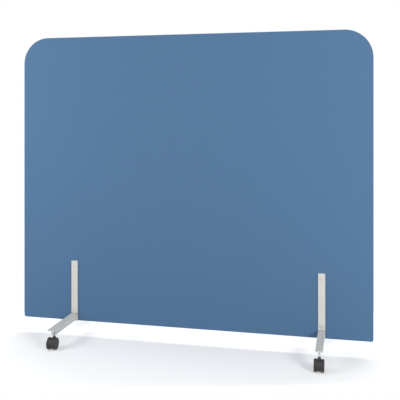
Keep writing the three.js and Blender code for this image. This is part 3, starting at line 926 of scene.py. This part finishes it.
def addBolts():
    material = steelMaterial("zinc_plate", bolt["colour"], bolt["roughness"])
    low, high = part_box("bolt_left_lower")
    seat = -(low.y + bolt["headThickness"])
    length = seat + high.y
    shank, tip = bolt["shankRadius"], bolt["shankTip"]
    screw = boltHead([(shank - tip, -length), (shank, tip - length), (shank, 0)])
    thread = threadRidge(shank + bolt["threadStand"], bolt["threadPitch"], -length, -bolt["threadStart"])
    selectOnly(screw, thread)
    bpy.ops.object.join()
    nutLow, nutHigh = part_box("nut_left_lower")
    sleeveLength = seat - nutLow.y
    sleeve, tip = bolt["sleeveRadius"], bolt["sleeveTip"]
    nut = boltHead([(sleeve - tip, -sleeveLength), (sleeve, tip - sleeveLength), (sleeve, 0)])
    bore = sleeveLength - bolt["sleeveEndWall"]
    cutWith(nut, cylinderAt(bolt["sleeveBore"], 2 * bore, (0, 0, -sleeveLength)))
    for model in (screw, nut):
        smoothPiece(model, bolt["smoothBelow"])
        model.data.materials.append(material)
    for leg in ("left", "right"):
        for level in ("lower", "upper"):
            for kind, model, turn, outwards in (("bolt", screw, 90, -1), ("nut", nut, -90, 1)):
                node = f"{kind}_{leg}_{level}"
                boxLow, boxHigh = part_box(node)
                middle = (boxLow + boxHigh) / 2
                move = Matrix.Translation((middle.x, outwards * seat, middle.z))
                piece = placeCopy(model, node + "_fastener",
                                  move @ Matrix.Rotation(math.radians(turn), 4, "X"))
                finishPiece(piece, f"{leg}_{level}_leg_{kind}", "root", "bolt_zinc", node)
    for model in (screw, nut):
        bpy.data.objects.remove(model)


addBolts()
print("bolts and nuts")

# Casters.
caster = {
    "wheelRadius": 0.025,
    "wheelWidth": 0.0104,
    "wheelSides": 96,
    "wheelRounding": (0.00024, 2, 40),
    "rimThickness": 0.0034,
    "discThickness": 0.0022,
    "dish": 0.0016,
    "treadRounding": 0.0022,
    "treadSteps": 6,
    "hubWall": 0.0034,  # round the wheel's bore
    "capWall": 0.0016,  # closes the bore on the outside
    "capShare": 0.45,  # how far the wheel's cap is set in, over its hub's radius
    "capStep": 0.0005,
    "axleRadius": 0.003,
    "axleBossWall": 0.0024,
    "axleChamfer": 0.0005,
    "running": 0.0002,  # clearance of axle and pin in their bores
    "sideClearance": 0.0007,  # between the housing and a wheel
    "trail": 0.019,  # the stem's axis to the axle
    "housingWidth": 0.0178,
    "housingWall": 0.0022,
    "housingRounding": (0.0007, 3, 30),
    "boreRounding": (0.00025, 2, 50),
    "guardRadius": 0.0245,
    "guardSides": 128,
    "guardHeel": 0.0085,  # the guard's lowest point
    "hubSides": 64,
    "hubFoot": 0.017,  # the swivel hub's heights, over the floor
    "hubShoulder": 0.042,
    "hubTop": 0.053,
    "hubRadius": 0.0065,
    "hubTaper": 0.005,
    "hubMouthWall": 0.0009,
    "hubEdge": 0.0006,
    "hubBend": (0.0004, 0.0009),  # in and up, where the hub's shoulder turns into its cone
    "hubBlend": 0.0012,  # up, from the cone to the neck and from the neck to the taper
    "hubLip": (0.0004, 0.0005),
    "pinRadius": 0.0035,
    "pinEndWall": 0.003,
    "pinChamfer": 0.001,
    "endPlay": 0.0003,  # between the stem and what it turns in
    "grooveDepth": 0.0009,
    "clipDrop": 0.011,  # the hub's top down to the clip
    "clipThickness": 0.0012,
    "stemRadius": 0.004,
    "stemPitch": 0.00125,
    "stemTip": (0.0008, 0.001),
    "stemSides": 40,
    "threadDepth": 0.522,  # over the pitch
    "collarHeight": 0.0035,
    "collarAcrossFlats": 0.009,
    "collarRounding": 0.0003,
    "smoothBelow": 35,
    "steel": srgb(212, 213, 214),
    "steelRoughness": (0.3, 0.45),
    "colour": srgb(44, 44, 45),
    "scuffColour": srgb(64, 64, 65),
    "scuffScale": 160.0,
    "scuffMixing": (-0.35, 1.1),
    "roughness": (0.42, 0.62),
    "specular": 0.4,
    "grainScale": 1800.0,
    "grainHeight": 0.00004,
    "bump": 0.6,
}


def nylonMaterial():
    material, tree, shader = newMaterial("black_nylon")
    grain = noise(tree, objectPlace(tree), caster["grainScale"], 3.0, 0.6)
    scuffs = noise(tree, objectPlace(tree), caster["scuffScale"], 5.0, 0.65)
    amount = spread(tree, scuffs, *caster["scuffMixing"])
    colour = blendColours(tree, amount, caster["colour"], caster["scuffColour"])
    tree.links.new(colour, shader.inputs["Base Color"])
    tree.links.new(spread(tree, scuffs, *caster["roughness"]), shader.inputs["Roughness"])
    shader.inputs["Specular IOR Level"].default_value = caster["specular"]
    bump(tree, shader, grain, caster["grainHeight"], caster["bump"])
    return material


# The wheel on the housing's plus or minus X side, with its outside dished and its inside hollow.
def wheelModel(direction):
    inner = caster["housingWidth"] / 2 + caster["sideClearance"]
    width, radius = caster["wheelWidth"], caster["wheelRadius"]
    place = (direction * (inner + width / 2), -caster["trail"], radius)
    wheel = cylinderAt(radius, width, place, turn=(0, math.pi / 2, 0), sides=caster["wheelSides"])
    outwards = Vector((direction, 0, 0))
    dish, rim = caster["dish"], caster["rimThickness"]
    bore = caster["axleRadius"] + caster["running"]
    hub = bore + caster["hubWall"]

    # outside: rim, dished disc, hub and cap
    pickFaces(wheel, lambda middle, normal: normal.dot(outwards) > parallel)
    bpy.ops.mesh.inset(thickness=rim)
    bpy.ops.mesh.inset(thickness=dish, depth=-dish)
    bpy.ops.mesh.inset(thickness=radius - rim - dish - (hub + dish))
    bpy.ops.mesh.inset(thickness=dish, depth=dish / 2)
    bpy.ops.mesh.inset(thickness=hub * caster["capShare"])
    bpy.ops.mesh.inset(thickness=caster["capStep"], depth=-caster["capStep"])

    # inside: hollow between rim and hub, and the axle's bore
    pickFaces(wheel, lambda middle, normal: normal.dot(outwards) < -parallel)
    discIn = width - dish - caster["discThickness"]
    boreEnd = width - dish - caster["capWall"]
    bpy.ops.mesh.inset(thickness=rim)
    bpy.ops.mesh.extrude_region_move(TRANSFORM_OT_translate={"value": outwards * discIn})
    bpy.ops.mesh.inset(thickness=radius - rim - hub)
    bpy.ops.mesh.extrude_region_move(TRANSFORM_OT_translate={"value": -outwards * discIn})
    bpy.ops.mesh.inset(thickness=caster["hubWall"])
    bpy.ops.mesh.extrude_region_move(TRANSFORM_OT_translate={"value": outwards * boreEnd})
    endEdit()

    def onTreadEdge(middle, way):
        outerEdge = direction * (inner + width)
        distance = math.hypot(middle.y + caster["trail"], middle.z - radius)
        return abs(middle.x - outerEdge) < sameSpot and distance > radius - rim / 4

    pickEdges(wheel, onTreadEdge)
    bpy.ops.mesh.bevel(offset=caster["treadRounding"], segments=caster["treadSteps"], affect="EDGES")
    endEdit()
    roundEdges(wheel, *caster["wheelRounding"])
    return wheel


def guardDisc(radius, width):
    place = (0, -caster["trail"], caster["wheelRadius"])
    return cylinderAt(radius, width, place, turn=(0, math.pi / 2, 0), sides=caster["guardSides"])


# Cuts off what lies on the normal's side of the plane, and closes the cut.
def cutFlat(piece, point, normal):
    startEdit(piece)
    bpy.ops.mesh.select_all(action="SELECT")
    bpy.ops.mesh.bisect(plane_co=point, plane_no=normal, use_fill=True, clear_outer=True)
    endEdit()


# The swivel hub stands on the origin's axis, and the wheels' axle trails behind it.
def housingModel():
    trail, foot, heel = caster["trail"], caster["hubFoot"], caster["guardHeel"]
    width, wall, clearance = caster["housingWidth"], caster["housingWall"], caster["running"]
    shell = guardDisc(caster["guardRadius"], width)
    cutFlat(shell, (0, 0, 0), (0, 1, 0))
    cutFlat(shell, (0, 0, heel), (0, 0, -1))
    cutFlat(shell, (0, 0, foot), Vector((0, foot - heel, -trail / 2)))
    roundEdges(shell, *caster["housingRounding"])
    hollow = guardDisc(caster["guardRadius"] - wall, width - 2 * wall)
    cutFlat(hollow, (0, sameSpot, 0), (0, 1, 0))
    cutWith(shell, hollow)

    bore = caster["pinRadius"] + clearance
    shoulder, neck, top = width / 2, caster["hubRadius"], caster["hubTop"]
    rise, taper, mouth = caster["hubShoulder"], top - caster["hubTaper"], bore + caster["hubMouthWall"]
    edge, blend = caster["hubEdge"], caster["hubBlend"]
    bendIn, bendUp = caster["hubBend"]
    lipOut, lipDown = caster["hubLip"]
    coneTop = rise + shoulder - neck
    hub = turnedPiece([
        (shoulder - edge, foot), (shoulder, foot + edge), (shoulder, rise),
        (shoulder - bendIn, rise + bendUp), (neck + edge, coneTop), (neck, coneTop + blend),
        (neck, taper), (neck - bendIn, taper + blend), (mouth + lipOut, top - lipDown), (mouth, top),
    ], caster["hubSides"])
    axleBore = caster["axleRadius"] + clearance
    place = (0, -trail, caster["wheelRadius"])
    boss = cylinderAt(axleBore + caster["axleBossWall"], width - wall, place, turn=(0, math.pi / 2, 0))
    cutWith(shell, hub, boss, operation="UNION")
    pinLength = top - foot - caster["pinEndWall"]
    cutWith(shell,
            cylinderAt(bore, 2 * pinLength, (0, 0, top)),
            cylinderAt(axleBore, 2 * width, place, turn=(0, math.pi / 2, 0)))
    roundEdges(shell, *caster["boreRounding"])
    startEdit(shell)
    bpy.ops.mesh.select_all(action="SELECT")
    bpy.ops.mesh.remove_doubles(threshold=sameSpot)
    bpy.ops.mesh.dissolve_degenerate(threshold=sameSpot)
    endEdit()
    return shell


def stemModel(stemTop):
    pin, play, chamfer = caster["pinRadius"], caster["endPlay"], caster["pinChamfer"]
    groove = pin - caster["grooveDepth"]
    bottom = caster["hubFoot"] + caster["pinEndWall"] + play
    clip = caster["hubTop"] - caster["clipDrop"]
    clipTop = clip + caster["clipThickness"] + play
    collarBottom = caster["hubTop"] + play
    collarTop = collarBottom + caster["collarHeight"]
    root = caster["stemRadius"] - caster["threadDepth"] * caster["stemPitch"]
    tipIn, tipDown = caster["stemTip"]
    stem = turnedPiece([
        (pin - chamfer, bottom), (pin, bottom + chamfer), (pin, clip - play), (groove, clip - play),
        (groove, clipTop), (pin, clipTop), (pin, collarBottom + play), (root, collarTop),
        (root, stemTop - tipDown), (root - tipIn, stemTop),
    ], caster["stemSides"])
    collar = cylinderAt(caster["collarAcrossFlats"] / math.sqrt(3), caster["collarHeight"],
                        (0, 0, (collarBottom + collarTop) / 2), sides=6)
    applyModifier(collar, "BEVEL", width=caster["collarRounding"], segments=2)
    thread = threadRidge(caster["stemRadius"], caster["stemPitch"], collarTop, stemTop)
    selectOnly(stem, collar, thread)
    bpy.ops.object.join()
    return stem


def axleModel(half):
    radius, chamfer = caster["axleRadius"], caster["axleChamfer"]
    axle = turnedPiece([(radius - chamfer, -half), (radius, chamfer - half), (radius, half - chamfer),
                        (radius - chamfer, half)], caster["stemSides"])
    axle.data.transform(Matrix.Translation((0, -caster["trail"], caster["wheelRadius"]))
                        @ Matrix.Rotation(math.pi / 2, 4, "Y"))
    return axle


def addCasters():
    nylon = nylonMaterial()
    steel = steelMaterial("pin_steel", caster["steel"], caster["steelRoughness"])
    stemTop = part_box("caster_front_left_stem")[1].z
    boreEnd = caster["wheelWidth"] - caster["dish"] - caster["capWall"] - caster["endPlay"]
    axleHalf = caster["housingWidth"] / 2 + caster["sideClearance"] + boreEnd
    models = {
        "housing": housingModel(),
        "stem": stemModel(stemTop),
        "axle": axleModel(axleHalf),
        "plus_wheel": wheelModel(1),
        "minus_wheel": wheelModel(-1),
    }
    for name, model in models.items():
        smoothPiece(model, caster["smoothBelow"])
        model.data.materials.append(steel if name in ("stem", "axle") else nylon)
    # as triangles, the faces round the bores are split alike in every copy
    applyModifier(models["housing"], "TRIANGULATE", min_vertices=5, keep_custom_normals=True)
    for end in ("front", "rear"):
        for leg in ("left", "right"):
            body = f"caster_{end}_{leg}"
            stemLow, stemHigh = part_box(body + "_stem")
            axleLow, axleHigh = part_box(body + "_axle")
            centre = (stemLow + stemHigh) / 2
            trailing = (axleLow + axleHigh) / 2 - centre
            turn = math.atan2(trailing.y, trailing.x) + math.pi / 2
            move = Matrix.Translation((centre.x, centre.y, 0)) @ Matrix.Rotation(turn, 4, "Z")
            plusIsOuter = (end == "front") == (leg == "right")
            names = {
                "housing": ("housing", body),
                "stem": ("stem", "root"),
                "axle": ("axle", body),
                "plus_wheel": ("outer_wheel", None) if plusIsOuter else ("inner_wheel", None),
                "minus_wheel": ("inner_wheel", None) if plusIsOuter else ("outer_wheel", None),
            }
            for model, (part, rides) in names.items():
                node = f"{body}_{part}"
                piece = placeCopy(models[model], node, move)
                slotName = "pin_steel" if part in ("stem", "axle") else "caster_nylon"
                finishPiece(piece, f"{end}_{leg}_caster_{part}", rides or node, slotName, node)
            dressNode(body + "_clip", steel)
    for model in models.values():
        bpy.data.objects.remove(model)


addCasters()
print("casters")
